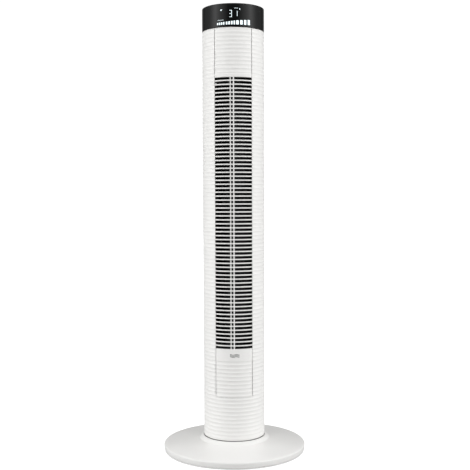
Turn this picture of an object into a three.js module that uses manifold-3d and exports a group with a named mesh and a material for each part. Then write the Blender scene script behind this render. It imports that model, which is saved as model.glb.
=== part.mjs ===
// Tower fan on a round two-piece base, built as an assembly of separate parts.
// Millimetres. +Z is up, the front faces -Y, and the origin is on the floor under the tower's axis.
// Plan angles are in degrees from the front, positive towards +X.
import * as THREE from 'three';
import { mergeVertices } from 'three/addons/utils/BufferGeometryUtils.js';
import Module from 'manifold-3d';

const wasm = await Module();
wasm.setup();

// ---- Driving dimensions ----
const HEIGHT = 1088;
const TOWER_R = 76;
const BASE_R = 175.7;
const WALL = 2.5;
const GAP = 0.3;
const BAND_BOTTOM = 1032;
const TOWER_BOTTOM = 39;
const BASE_TOP = 38;

const SHELL_FACETS = 48;
const BASE_FACETS = 40;
const ROUND_FACETS = 24;
const WHEEL_FACETS = 24;
const SMALL_FACETS = 16;
const TINY_FACETS = 10;

// Front outlet grille
const SLOT_COUNT = 69;
const SLOT_PITCH = 9.486;
const SLOT_HEIGHT = 6;
const SLOT_TOP_CENTRE = 911.3;
const WINDOW_HALF_ANGLE = 36.6;
const WINDOW_SEAM_ANGLE = 1.1;
const WINDOW_BOTTOM = 143.8;
const SEAM = 0.8;
const RIB_WIDTH = 3.1;
const RIB_ANGLES = [0, -5.5];

// Rear intake grille
const INTAKE_HALF_ANGLE = 50.3;
const INTAKE_BOTTOM = 258;
const INTAKE_TOP = 918;
const INTAKE_COLUMNS = 12;
const INTAKE_BAYS = 5;
const INTAKE_SLOT_WIDTH = 6.4;
const INTAKE_BRIDGE = 8;

// Blower wheel and its drive, on an axis behind the tower's own
const WHEEL_Y = 12;
const WHEEL_R = 46;
const WHEEL_BOTTOM = 268;
const WHEEL_TOP = 908;
const BLADE_COUNT = 20;
const SHAFT_R = 4;
const PIN_R = 3.9;
const BEARING_BORE_R = 4.35;

// Swing drive
const SPINDLE_R = 19;
const SPINDLE_TOP = 76;
const CORD_BORE_R = 13;
const GEAR_MODULE = 1.25;
const FIXED_TEETH = 48;
const PINION_TEETH = 12;
const GEAR_BOTTOM = 64;
const GEAR_THICKNESS = 6;
const BACKLASH = 0.15;
const PINION_Y = (GEAR_MODULE * (FIXED_TEETH + PINION_TEETH)) / 2 + BACKLASH;

// Control head
const KEY_CIRCLE_R = 45;
const KEY_R = 6;
const KEY_ANGLES = { timer_key: -50, mode_key: -25, power_key: 0, speed_key: 25, swing_key: 50 };
const CAP_UNDERSIDE = 1083.6;
const CAP_TOP = 1086.6;

// Base
const DECK_TOP = 30.5;
const DECK_THICKNESS = 3;
const FOOT_COUNT = 8;
const FOOT_CIRCLE_R = 155;
const FOOT_HEIGHT = 3;
const BASE_SCREW_CIRCLE_R = 50;
const GLAND_Z = 9.5;
const GLAND_HOLE_R = 5.5;

// Lead through the tower
const LOOM_X = -62;
const LOOM_Y = 20;

// ---- Materials ----
function plastic(color, roughness) {
  return new THREE.MeshStandardMaterial({ color, roughness, metalness: 0 });
}

function metal(color, roughness) {
  return new THREE.MeshStandardMaterial({ color, roughness, metalness: 1 });
}

const WHITE = plastic(0xf0efeb, 0.42);
const GRILLE_WHITE = plastic(0xeeede9, 0.45);
const GLOSS_BLACK = plastic(0x08090b, 0.08);
const DARK_PLASTIC = plastic(0x202124, 0.55);
const NATURAL_NYLON = plastic(0xe6dfcc, 0.5);
const RUBBER = plastic(0x1a1a1a, 0.85);
const BOARD_GREEN = plastic(0x1f5a35, 0.55);
const DISPLAY_GREY = plastic(0x34373b, 0.35);
const STEEL = metal(0xb5b8bc, 0.32);
const BRONZE = metal(0xb08a55, 0.4);

// ---- Solid helpers ----
const RAD = Math.PI / 180;

function around(radius, angle, z = 0) {
  return new THREE.Vector3(radius * Math.sin(angle * RAD), -radius * Math.cos(angle * RAD), z);
}

function toSolid(geometry) {
  const plain = geometry.clone();
  plain.deleteAttribute('normal');
  plain.deleteAttribute('uv');
  const merged = mergeVertices(plain, 1e-4);
  const source = merged.index.array;
  const corners = [];
  for (let i = 0; i < source.length; i += 3) {
    const [a, b, c] = [source[i], source[i + 1], source[i + 2]];
    if (a !== b && b !== c && c !== a) corners.push(a, b, c);
  }
  const place = merged.attributes.position;
  const at = (i) => new THREE.Vector3().fromBufferAttribute(place, i);
  let volume = 0;
  for (let i = 0; i < corners.length; i += 3) {
    volume += at(corners[i]).dot(at(corners[i + 1]).cross(at(corners[i + 2])));
  }
  if (volume < 0) corners.reverse();
  const mesh = new wasm.Mesh({
    numProp: 3,
    vertProperties: new Float32Array(place.array),
    triVerts: new Uint32Array(corners),
  });
  return new wasm.Manifold(mesh);
}

function toGeometry(solid) {
  const mesh = solid.getMesh();
  const geometry = new THREE.BufferGeometry();
  geometry.setAttribute('position', new THREE.BufferAttribute(new Float32Array(mesh.vertProperties), 3));
  geometry.setIndex(new THREE.BufferAttribute(new Uint32Array(mesh.triVerts), 1));
  geometry.computeVertexNormals();
  return geometry;
}

function prism(points, bottom, top) {
  const shape = new THREE.Shape(points.map(([x, y]) => new THREE.Vector2(x, y)));
  const geometry = new THREE.ExtrudeGeometry(shape, { depth: top - bottom, bevelEnabled: false });
  geometry.translate(0, 0, bottom);
  return toSolid(geometry);
}

function arcPoints(radius, from, to, facets) {
  const points = [];
  for (let i = 0; i <= facets; i += 1) {
    const p = around(radius, from + ((to - from) * i) / facets);
    points.push([p.x, p.y]);
  }
  return points;
}

function sector(inner, outer, from, to, facets, bottom, top) {
  const outline = [...arcPoints(outer, from, to, facets), ...arcPoints(inner, to, from, facets)];
  return prism(outline, bottom, top);
}

function wedge(inner, outer, from, to, bottom, top) {
  return sector(inner, outer, from, to, 1, bottom, top);
}

function turned(profile, facets, x = 0, y = 0) {
  const outline = profile.map(([r, z]) => new THREE.Vector2(r, z));
  if (profile[0][0] > 0) outline.push(outline[0].clone());
  const geometry = new THREE.LatheGeometry(outline, facets);
  geometry.rotateX(Math.PI / 2);
  geometry.translate(x, y, 0);
  return toSolid(geometry);
}

function rod(radius, bottom, top, facets, x = 0, y = 0) {
  return turned([[0, bottom], [radius, bottom], [radius, top], [0, top]], facets, x, y);
}

function ring(inner, outer, bottom, top, facets, x = 0, y = 0) {
  return turned([[inner, bottom], [outer, bottom], [outer, top], [inner, top]], facets, x, y);
}

function block(x0, x1, y0, y1, z0, z1) {
  const geometry = new THREE.BoxGeometry(x1 - x0, y1 - y0, z1 - z0);
  geometry.translate((x0 + x1) / 2, (y0 + y1) / 2, (z0 + z1) / 2);
  return toSolid(geometry);
}

// A round hole drilled along the radius at a plan angle.
function radialRod(radius, from, to, angle, z, facets) {
  const geometry = new THREE.CylinderGeometry(radius, radius, to - from, facets);
  geometry.translate(0, -(from + to) / 2, 0);
  geometry.rotateZ(angle * RAD);
  geometry.translate(0, 0, z);
  return toSolid(geometry);
}

const fan = new THREE.Group();

function place(name, solid, material, parent = fan) {
  const mesh = new THREE.Mesh(toGeometry(solid), material);
  mesh.name = name;
  parent.add(mesh);
  return mesh;
}

// ---- Base: two halves, feet, cord gland ----
const RIB_STEP = 360 / FOOT_COUNT;

function basePlate() {
  const deckUnderside = DECK_TOP - DECK_THICKNESS;
  const outside = [
    [BASE_R, 2], [BASE_R - 0.5, 15], [BASE_R - 3.7, 19.5], [88, 30], [81, 36], [78, BASE_TOP],
    [75.5, BASE_TOP], [75.5, DECK_TOP], [24, DECK_TOP],
  ];
  const inside = [[24, deckUnderside], [85, deckUnderside], [171, 16.8], [173, 14], [173.2, 2]];
  let plate = turned([...outside, ...inside], BASE_FACETS);
  for (let i = 0; i < FOOT_COUNT; i += 1) {
    const angle = RIB_STEP * (i + 0.5);
    const foot = around(FOOT_CIRCLE_R, angle);
    plate = plate.add(underRib(angle));
    plate = plate.add(rod(9, FOOT_HEIGHT + GAP, 20.2, TINY_FACETS, foot.x, foot.y));
  }
  for (const angle of [45, 135, 225, 315]) {
    const hole = around(BASE_SCREW_CIRCLE_R, angle);
    plate = plate.subtract(rod(2.6, 20, 40, TINY_FACETS, hole.x, hole.y));
  }
  return plate.subtract(radialRod(GLAND_HOLE_R, 165, 180, 180, GLAND_Z, SMALL_FACETS));
}

function underRib(angle) {
  const side = new THREE.Shape([
    new THREE.Vector2(28, 14), new THREE.Vector2(165, 5), new THREE.Vector2(174, 5),
    new THREE.Vector2(174, 15), new THREE.Vector2(170, 17.5), new THREE.Vector2(85, 28.2),
    new THREE.Vector2(28, 28.2),
  ]);
  const thickness = 2.4;
  const rib = new THREE.ExtrudeGeometry(side, { depth: thickness, bevelEnabled: false });
  rib.translate(0, 0, -thickness / 2);
  rib.rotateX(Math.PI / 2);
  rib.rotateZ((angle - 90) * RAD);
  return toSolid(rib);
}

const plate = basePlate();
const half = BASE_R + 10;
place('base_front_half', plate.intersect(block(-half, half, -half, -GAP / 2, 0, 60)), WHITE);
place('base_rear_half', plate.intersect(block(-half, half, GAP / 2, half, 0, 60)), WHITE);

for (let i = 0; i < FOOT_COUNT; i += 1) {
  const pad = place(`foot_pad_${i + 1}`, rod(8, 0, FOOT_HEIGHT, TINY_FACETS), RUBBER);
  pad.position.copy(around(FOOT_CIRCLE_R, RIB_STEP * (i + 0.5)));
}

const glandBody = radialRod(GLAND_HOLE_R - GAP, 169, BASE_R - 0.7, 180, GLAND_Z, SMALL_FACETS);
const glandFlange = radialRod(6.2, 168.5, 171.4, 180, GLAND_Z, SMALL_FACETS);
const glandBore = radialRod(3.5, 160, 180, 180, GLAND_Z, SMALL_FACETS);
place('cord_gland', glandBody.add(glandFlange).subtract(glandBore), RUBBER);

// ---- Pedestal and swing bearing ----
const FLANGE_BOTTOM = DECK_TOP + GAP;
const FLANGE_TOP = FLANGE_BOTTOM + 4;
let pedestal = turned([
  [CORD_BORE_R, 12], [22, 12], [22, FLANGE_BOTTOM], [72, FLANGE_BOTTOM], [72, FLANGE_TOP],
  [SPINDLE_R, FLANGE_TOP], [SPINDLE_R, SPINDLE_TOP], [CORD_BORE_R, SPINDLE_TOP],
], ROUND_FACETS);
for (const angle of [45, 135, 225, 315]) {
  const hole = around(BASE_SCREW_CIRCLE_R, angle);
  pedestal = pedestal.subtract(rod(2.4, 25, 40, TINY_FACETS, hole.x, hole.y));
}
place('pedestal', pedestal, DARK_PLASTIC);
place('thrust_ring', ring(38, 56, FLANGE_TOP + GAP, TOWER_BOTTOM, ROUND_FACETS), NATURAL_NYLON);

[45, 135, 225, 315].forEach((angle, i) => {
  const profile = [[0, 24.4], [4.2, 24.4], [4.2, 27.2], [2, 27.2], [2, 34.4], [0, 34.4]];
  const screw = place(`base_screw_${i + 1}`, turned(profile, TINY_FACETS), STEEL);
  screw.position.copy(around(BASE_SCREW_CIRCLE_R, angle));
});

// ---- Swing gears: a fixed toothed sector and the pinion that walks around it ----
function gearTooth(teeth, angle) {
  const pitchR = (GEAR_MODULE * teeth) / 2;
  const flank = [
    [pitchR - 1.2 * GEAR_MODULE, 0.29], [pitchR, 0.215], [pitchR + 0.85 * GEAR_MODULE, 0.11],
  ];
  const step = 360 / teeth;
  const left = flank.map(([r, share]) => around(r, angle - share * step));
  const right = flank.map(([r, share]) => around(r, angle + share * step)).reverse();
  return [...left, ...right].map((p) => [p.x, p.y]);
}

const SECTOR_TEETH = 13;
const fixedStep = 360 / FIXED_TEETH;
const sectorRootR = (GEAR_MODULE * FIXED_TEETH) / 2 - 1.1 * GEAR_MODULE;
const sectorSpan = (SECTOR_TEETH * fixedStep) / 2;
const gearTop = GEAR_BOTTOM + GEAR_THICKNESS;
let swingSector = ring(SPINDLE_R + GAP, 24, GEAR_BOTTOM, gearTop, ROUND_FACETS);
swingSector = swingSector.add(
  sector(22, sectorRootR, 180 - sectorSpan, 180 + sectorSpan, SECTOR_TEETH, GEAR_BOTTOM, gearTop),
);
for (let i = 0; i < SECTOR_TEETH; i += 1) {
  const angle = 180 + (i - (SECTOR_TEETH - 1) / 2) * fixedStep;
  swingSector = swingSector.add(prism(gearTooth(FIXED_TEETH, angle), GEAR_BOTTOM, gearTop));
}
place('swing_sector', swingSector, NATURAL_NYLON);
place('retaining_ring', ring(SPINDLE_R + GAP, 25, gearTop + GAP, gearTop + 3.5, ROUND_FACETS), STEEL);

// The pinion's gap faces the sector's middle tooth.
const pinionRootR = (GEAR_MODULE * PINION_TEETH) / 2 - 1.1 * GEAR_MODULE;
const PINION_SHAFT_R = 3;
let pinion = rod(pinionRootR, GEAR_BOTTOM - 0.5, gearTop + 0.5, SMALL_FACETS);
for (let i = 0; i < PINION_TEETH; i += 1) {
  const angle = (i + 0.5) * (360 / PINION_TEETH);
  pinion = pinion.add(prism(gearTooth(PINION_TEETH, angle), GEAR_BOTTOM - 0.5, gearTop + 0.5));
}
pinion = pinion.add(rod(PINION_SHAFT_R, gearTop, 84, TINY_FACETS));
place('swing_pinion', pinion, NATURAL_NYLON).position.set(0, PINION_Y, 0);

// ---- Turntable and swing motor ----
const INNER_R = 73;
const TURNTABLE_BOTTOM = TOWER_BOTTOM + GAP;
const BRACKET_BOTTOM = 78;
const SHELL_SCREW_ANGLES = [150, 210];
const LOW_SCREW_Z = 46.5;
const HIGH_SCREW_Z = 1026;

let turntable = turned([
  [SPINDLE_R + 0.6, TURNTABLE_BOTTOM], [INNER_R, TURNTABLE_BOTTOM], [INNER_R, 52], [64, 52],
  [64, TURNTABLE_BOTTOM + 4], [24.5, TURNTABLE_BOTTOM + 4], [24.5, 62], [SPINDLE_R + 0.6, 62],
], ROUND_FACETS);
for (const angle of [0, 120, 240]) {
  const post = around(55, angle);
  turntable = turntable.add(rod(5, 41, BRACKET_BOTTOM - GAP, TINY_FACETS, post.x, post.y));
}
for (const angle of SHELL_SCREW_ANGLES) {
  turntable = turntable.subtract(radialRod(2.2, 60, 80, angle, LOW_SCREW_Z, TINY_FACETS));
}
place('turntable', turntable, DARK_PLASTIC);

const swingBracket = rod(62, BRACKET_BOTTOM, BRACKET_BOTTOM + 2.5, ROUND_FACETS)
  .subtract(rod(CORD_BORE_R, 70, 90, SMALL_FACETS))
  .subtract(rod(4.6, 70, 90, TINY_FACETS, 0, PINION_Y));
place('swing_bracket', swingBracket, STEEL);

const swingMotorBottom = BRACKET_BOTTOM + 2.5 + GAP;
const swingMotor = turned([
  [3.4, swingMotorBottom], [22, swingMotorBottom], [22, swingMotorBottom + 20],
  [3.4, swingMotorBottom + 20],
], SMALL_FACETS, 0, PINION_Y);
place('swing_motor', swingMotor, STEEL);

// ---- Tower shells ----
const shellTop = BAND_BOTTOM - GAP;
const SHELL_HALF_ANGLE = 89.85;
const HANDLE_HALF_ANGLE = 30.4;
const HANDLE_BOTTOM = 943.5;
const HANDLE_TOP = 990.5;

function halfTube(middle) {
  return sector(
    TOWER_R - WALL, TOWER_R, middle - SHELL_HALF_ANGLE, middle + SHELL_HALF_ANGLE,
    SHELL_FACETS / 2, TOWER_BOTTOM, shellTop,
  );
}

const frontShell = halfTube(0)
  .subtract(wedge(60, 110, -WINDOW_HALF_ANGLE, WINDOW_HALF_ANGLE, WINDOW_BOTTOM, HEIGHT));
place('front_shell', frontShell, WHITE);

let rearShell = halfTube(180)
  .subtract(sector(60, 90, 180 - INTAKE_HALF_ANGLE, 180 + INTAKE_HALF_ANGLE, 4, INTAKE_BOTTOM, INTAKE_TOP))
  .subtract(wedge(60, 110, 180 - HANDLE_HALF_ANGLE, 180 + HANDLE_HALF_ANGLE, HANDLE_BOTTOM, HANDLE_TOP));
for (const angle of SHELL_SCREW_ANGLES) {
  rearShell = rearShell
    .subtract(radialRod(2.2, 60, 80, angle, LOW_SCREW_Z, TINY_FACETS))
    .subtract(radialRod(2.2, 60, 80, angle, HIGH_SCREW_Z, TINY_FACETS));
}
place('rear_shell', rearShell, WHITE);

function shellScrew(name, angle, z, tip) {
  const profile = [[0, tip], [1.8, tip], [1.8, 76.4], [3.6, 76.4], [3.6, 78], [0, 78]];
  const screw = place(name, turned(profile, TINY_FACETS), STEEL);
  screw.position.set(0, 0, z);
  screw.rotation.set(90 * RAD, 0, angle * RAD, 'ZYX');
}

SHELL_SCREW_ANGLES.forEach((angle, i) => {
  shellScrew(`shell_screw_${i + 1}`, angle, LOW_SCREW_Z, 65);
  shellScrew(`shell_screw_${i + 3}`, angle, HIGH_SCREW_Z, 68.5);
});

// ---- Front outlet grille: a long curved insert with level slots and two bars behind them ----
const edge = WINDOW_HALF_ANGLE - WINDOW_SEAM_ANGLE;
const SLOT_HALF_ANGLE = 34.6;
const SLAT_BACK_R = 71.5;
let frontGrille = sector(SLAT_BACK_R, TOWER_R, -edge, edge, 4, WINDOW_BOTTOM + SEAM, shellTop);
for (const side of [-1, 1]) {
  const flange = side < 0 ? [-38.5, -34.4] : [34.4, 38.5];
  frontGrille = frontGrille.add(sector(70, INNER_R, ...flange, 1, WINDOW_BOTTOM - 4, shellTop));
}
for (let i = 0; i < SLOT_COUNT; i += 1) {
  const centre = SLOT_TOP_CENTRE - i * SLOT_PITCH;
  const from = centre - SLOT_HEIGHT / 2;
  const slot = wedge(60, 110, -SLOT_HALF_ANGLE, SLOT_HALF_ANGLE, from, from + SLOT_HEIGHT);
  frontGrille = frontGrille.subtract(slot);
}
const slotsBottom = SLOT_TOP_CENTRE - (SLOT_COUNT - 0.5) * SLOT_PITCH;
const slotsTop = SLOT_TOP_CENTRE + SLOT_PITCH / 2;
for (const angle of RIB_ANGLES) {
  const bar = block(-RIB_WIDTH / 2, RIB_WIDTH / 2, -70, -67, slotsBottom - 8, slotsTop + 8)
    .add(block(-RIB_WIDTH / 2, RIB_WIDTH / 2, -72, -69, slotsBottom - 8, slotsBottom - 2))
    .add(block(-RIB_WIDTH / 2, RIB_WIDTH / 2, -72, -69, slotsTop + 2, slotsTop + 8));
  frontGrille = frontGrille.add(bar.rotate([0, 0, angle]));
}
place('front_grille', frontGrille, GRILLE_WHITE);

// ---- Rear intake grille: five bays of upright slots ----
const intakeEdge = INTAKE_HALF_ANGLE - 0.6;
const columnStep = (2 * intakeEdge) / INTAKE_COLUMNS;
let rearGrille = sector(
  72.6, TOWER_R, 180 - intakeEdge, 180 + intakeEdge, INTAKE_COLUMNS, INTAKE_BOTTOM + SEAM, INTAKE_TOP - SEAM,
);
for (const side of [-1, 1]) {
  const [from, to] = side < 0 ? [127, 133.6] : [226.4, 233];
  rearGrille = rearGrille.add(sector(70, INNER_R, from, to, 1, INTAKE_BOTTOM + SEAM, INTAKE_TOP - SEAM));
}
const intakeFrom = INTAKE_BOTTOM + SEAM + INTAKE_BRIDGE;
const bayPitch = (INTAKE_TOP - SEAM - intakeFrom) / INTAKE_BAYS;
for (let column = 0; column < INTAKE_COLUMNS; column += 1) {
  const angle = (column + 0.5) * columnStep - intakeEdge;
  for (let bay = 0; bay < INTAKE_BAYS; bay += 1) {
    const bottom = intakeFrom + bay * bayPitch;
    const halfWidth = INTAKE_SLOT_WIDTH / 2;
    const cut = block(-halfWidth, halfWidth, 60, 90, bottom, bottom + bayPitch - INTAKE_BRIDGE);
    rearGrille = rearGrille.subtract(cut.rotate([0, 0, angle]));
  }
}
place('rear_grille', rearGrille, GRILLE_WHITE);

// ---- Carry handle: a finger pocket in the upper rear with a grip lip along its top ----
const handleEdge = HANDLE_HALF_ANGLE - 0.4;
const [handleFrom, handleTo] = [180 - handleEdge, 180 + handleEdge];
const handle = sector(50, TOWER_R, handleFrom, handleTo, 6, HANDLE_BOTTOM + 0.5, HANDLE_TOP - 0.5)
  .subtract(sector(52, 90, 153, 207, 6, 948, 978))
  .subtract(sector(52, 68, 153, 207, 6, 977, 986));
place('carry_handle', handle, WHITE);

// ---- Air duct ----
const DUCT_BOTTOM = 252.4;
const DUCT_TOP = 917.5;
const SCROLL_THICKNESS = 1.6;

function spiral(angle, extra) {
  const radius = 50 + (70 - angle) * 0.09 + extra;
  return [radius * Math.cos(angle * RAD), WHEEL_Y + radius * Math.sin(angle * RAD)];
}

const scrollAngles = [70, 55, 40, 25, 10, -5, -20, -30];
const scrollOutline = [
  ...scrollAngles.map((a) => spiral(a, 0)),
  [43, -50],
  [43 + SCROLL_THICKNESS, -50],
  ...scrollAngles.map((a) => spiral(a, SCROLL_THICKNESS)).reverse(),
];
place('air_scroll', prism(scrollOutline, DUCT_BOTTOM, DUCT_TOP), DARK_PLASTIC);

const tongueOutline = [
  [-56, -4], [-47, -8], [-44.5, -14], [-44.5, -50], [-46, -50], [-46, -14.5], [-48, -9.5], [-56, -5.6],
];
place('duct_tongue', prism(tongueOutline.reverse(), DUCT_BOTTOM, DUCT_TOP), DARK_PLASTIC);

// ---- Blower wheel, its shaft and bearings ----
function blade(index) {
  const chord = 13;
  const lean = 30;
  const strip = new THREE.BoxGeometry(1.2, chord, WHEEL_TOP - WHEEL_BOTTOM - 1);
  strip.rotateZ(lean * RAD);
  strip.translate(0, 39, (WHEEL_TOP + WHEEL_BOTTOM) / 2);
  strip.rotateZ((index * 2 * Math.PI) / BLADE_COUNT);
  return toSolid(strip);
}

let wheel = rod(WHEEL_R, WHEEL_BOTTOM, WHEEL_BOTTOM + 2.5, WHEEL_FACETS)
  .add(rod(WHEEL_R, WHEEL_TOP - 2.5, WHEEL_TOP, WHEEL_FACETS));
for (let i = 0; i < BLADE_COUNT; i += 1) {
  wheel = wheel.add(blade(i));
}
const middle = (WHEEL_BOTTOM + WHEEL_TOP) / 2;
wheel = wheel.add(ring(31, WHEEL_R, middle - 0.8, middle + 0.8, WHEEL_FACETS));
const rotor = new THREE.Group();
rotor.position.set(0, WHEEL_Y, 0);
fan.add(rotor);
place('impeller', wheel, DARK_PLASTIC, rotor);
place('axle_pin', rod(PIN_R, WHEEL_TOP + GAP, 929, SMALL_FACETS), STEEL, rotor);
const hubTop = WHEEL_BOTTOM - GAP;
const shaftTop = 262;
const hub = turned([
  [0, shaftTop + GAP], [SHAFT_R + GAP, shaftTop + GAP], [SHAFT_R + GAP, 254.5], [12, 254.5],
  [12, hubTop], [0, hubTop],
], SMALL_FACETS);
place('drive_hub', hub, RUBBER, rotor);
place('motor_shaft', rod(SHAFT_R, 216, shaftTop, SMALL_FACETS), STEEL, rotor);

// ---- Fan motor and its bracket ----
const MOTOR_R = 40;
const MOTOR_TOP = 240;
const drive = new THREE.Group();
drive.position.set(0, WHEEL_Y, 0);
fan.add(drive);
const motor = turned([
  [0, 178], [38, 178], [MOTOR_R, 181], [MOTOR_R, 237], [37, MOTOR_TOP], [BEARING_BORE_R, MOTOR_TOP],
  [BEARING_BORE_R, 215], [0, 215],
], SMALL_FACETS);
place('motor_can', motor, STEEL, drive);
place('motor_isolator', ring(18, 34, MOTOR_TOP + GAP, 248.7, SMALL_FACETS), RUBBER, drive);

const PLATE_BOTTOM = 249;
const PLATE_THICKNESS = 3;
const loomNotch = rod(5, 0, HEIGHT, TINY_FACETS, LOOM_X, LOOM_Y);
const grilleRelief = sector(66.4, 90, -39.5, 39.5, 6, 200, BAND_BOTTOM + 0.5);
const motorBracket = rod(INNER_R, PLATE_BOTTOM, PLATE_BOTTOM + PLATE_THICKNESS, ROUND_FACETS)
  .add(ring(MOTOR_R + 1.5, MOTOR_R + 4, 228, PLATE_BOTTOM + 1, SMALL_FACETS, 0, WHEEL_Y))
  .subtract(rod(9, 200, 300, SMALL_FACETS, 0, WHEEL_Y))
  .subtract(grilleRelief)
  .subtract(loomNotch);
place('motor_bracket', motorBracket, DARK_PLASTIC);

const BEARING_PLATE = 918;
const BUSH_R = 8;
const bearingBracket = rod(INNER_R, BEARING_PLATE, BEARING_PLATE + PLATE_THICKNESS, ROUND_FACETS)
  .add(rod(12, 912.5, BEARING_PLATE + 8, SMALL_FACETS, 0, WHEEL_Y))
  .subtract(rod(BUSH_R + GAP, 900, 940, SMALL_FACETS, 0, WHEEL_Y))
  .subtract(grilleRelief)
  .subtract(loomNotch);
place('upper_bearing_bracket', bearingBracket, DARK_PLASTIC);
place('upper_bearing_bush', ring(BEARING_BORE_R, BUSH_R, 913, 926, SMALL_FACETS, 0, WHEEL_Y), BRONZE);

// ---- Control head ----
const HEAD_R = 72.8;
const headFrame = turned([
  [HEAD_R, 1020], [HEAD_R, 1083.2], [69.5, 1083.2], [69.5, 1036], [20, 1036], [20, 1033],
  [69.5, 1033], [69.5, 1020],
], ROUND_FACETS)
  .subtract(wedge(60, 110, -33, 33, 1040, 1079))
  .subtract(grilleRelief)
  .subtract(rod(7, 1030, 1040, TINY_FACETS, -51, 6))
  .subtract(radialRod(2.2, 60, 80, SHELL_SCREW_ANGLES[0], HIGH_SCREW_Z, TINY_FACETS))
  .subtract(radialRod(2.2, 60, 80, SHELL_SCREW_ANGLES[1], HIGH_SCREW_Z, TINY_FACETS));
place('head_frame', headFrame, DARK_PLASTIC);

const BAND_INNER_R = 73.2;
const LIP_R = 70.6;
const BAND_CHAMFER = 1.2;
const band = turned([
  [TOWER_R, BAND_BOTTOM + GAP], [TOWER_R, HEIGHT - BAND_CHAMFER], [TOWER_R - BAND_CHAMFER, HEIGHT],
  [LIP_R, HEIGHT], [LIP_R, 1084.4], [BAND_INNER_R, 1084.4], [BAND_INNER_R, BAND_BOTTOM + GAP],
], SHELL_FACETS);
place('display_band', band, GLOSS_BLACK);

let cap = rod(LIP_R - 0.4, CAP_UNDERSIDE, CAP_TOP, ROUND_FACETS);
const keyBoardTop = 1074.6;
let keyBoard = sector(34, 54, -64, 64, 8, keyBoardTop - 1.6, keyBoardTop);
for (const [name, angle] of Object.entries(KEY_ANGLES)) {
  const centre = around(KEY_CIRCLE_R, angle);
  cap = cap.subtract(rod(KEY_R + 0.4, 1070, HEIGHT, SMALL_FACETS, centre.x, centre.y));
  const press = block(centre.x - 3, centre.x + 3, centre.y - 3, centre.y + 3, keyBoardTop - 0.5, 1079.6);
  keyBoard = keyBoard.add(press);
  const profile = [
    [0, 1081.6], [7.4, 1081.6], [7.4, CAP_UNDERSIDE - GAP], [KEY_R, CAP_UNDERSIDE - GAP],
    [KEY_R, HEIGHT - 0.2], [0, HEIGHT - 0.2],
  ];
  place(name, turned(profile, SMALL_FACETS), GLOSS_BLACK).position.copy(centre);
}
place('top_cap', cap, GLOSS_BLACK);
place('key_board', keyBoard, BOARD_GREEN);

place('display_board', block(-32, 32, -59.9, -58.3, 1039, 1079), BOARD_GREEN);
const digitWindow = block(-26, 26, -66, -60.2, 1041, 1078);
place('led_module', digitWindow, DISPLAY_GREY);

// ---- Power board and the lead to the head ----
const BOARD_Y = 44;
const powerBoard = block(-45, 45, BOARD_Y, BOARD_Y + 1.6, 108, 170)
  .add(block(8, 38, BOARD_Y - 22, BOARD_Y + 0.5, 114, 142))
  .add(block(-34, -16, BOARD_Y - 16, BOARD_Y + 0.5, 116, 128))
  .add(rod(7, 140, 162, TINY_FACETS, -20, BOARD_Y - 6.5));
place('power_board', powerBoard, BOARD_GREEN);

const loomRoute = new THREE.CatmullRomCurve3([
  new THREE.Vector3(-49, 40, 150), new THREE.Vector3(LOOM_X + 3, 27, 175),
  new THREE.Vector3(LOOM_X, LOOM_Y, 215), new THREE.Vector3(LOOM_X, LOOM_Y, 600),
  new THREE.Vector3(LOOM_X, LOOM_Y, 960), new THREE.Vector3(-57, 13, 1008),
  new THREE.Vector3(-50, 5, 1030), new THREE.Vector3(-50, 4, 1046),
]);
const LOOM_R = 3;
const loomSection = new THREE.Shape();
for (let i = 0; i < 6; i += 1) {
  const turn = 60 * i * RAD;
  const x = LOOM_R * Math.cos(turn);
  const y = LOOM_R * Math.sin(turn);
  if (i === 0) loomSection.moveTo(x, y);
  else loomSection.lineTo(x, y);
}
loomSection.closePath();
const loomOptions = { steps: 16, extrudePath: loomRoute, bevelEnabled: false };
place('wiring_loom', toSolid(new THREE.ExtrudeGeometry(loomSection, loomOptions)), RUBBER);

export default fan;
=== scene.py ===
"""Looks of the tower fan: fine ringed shells, grilles, base, glossy head and their materials."""

import math

import bmesh
import bpy
import numpy as np
from mathutils import Matrix, Vector


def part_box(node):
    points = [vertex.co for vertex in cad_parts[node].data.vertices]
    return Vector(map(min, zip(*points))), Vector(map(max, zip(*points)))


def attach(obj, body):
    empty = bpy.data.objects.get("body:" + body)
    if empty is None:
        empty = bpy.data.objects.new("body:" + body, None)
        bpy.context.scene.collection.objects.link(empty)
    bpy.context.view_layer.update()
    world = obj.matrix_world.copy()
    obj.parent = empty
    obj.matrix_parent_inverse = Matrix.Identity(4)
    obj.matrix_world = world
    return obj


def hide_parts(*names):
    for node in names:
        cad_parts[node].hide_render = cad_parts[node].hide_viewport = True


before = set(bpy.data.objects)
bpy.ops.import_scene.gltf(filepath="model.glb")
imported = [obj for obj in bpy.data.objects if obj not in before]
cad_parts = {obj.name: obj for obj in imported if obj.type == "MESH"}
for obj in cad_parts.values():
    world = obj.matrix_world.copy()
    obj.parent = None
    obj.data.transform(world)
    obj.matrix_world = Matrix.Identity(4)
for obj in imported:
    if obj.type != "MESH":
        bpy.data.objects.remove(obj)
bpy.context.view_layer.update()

# ---------------------------------------------------------------- Sizes, in metres
MM = 0.001
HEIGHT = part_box("display_band")[1][2]
BAND_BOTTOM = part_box("display_band")[0][2]
TOWER_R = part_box("display_band")[1][0]
BASE_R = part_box("base_front_half")[1][0]
BASE_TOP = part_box("base_front_half")[1][2]
TOWER_BOTTOM, SHELL_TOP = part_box("front_shell")[0][2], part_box("front_shell")[1][2]
WALL = 2.5 * MM

# The shells are fluted: shallow level coves that meet in ridges, one ridge level with each slat.
PITCH = 9.486 * MM
SLOT_COUNT = 69
SLOT_HEIGHT = 6.4 * MM
TOP_SLOT = 911.3 * MM
RIDGE_LEVEL = TOP_SLOT + PITCH / 2 + 0.8 * MM
COVE_DEPTH = 0.95 * MM

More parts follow.
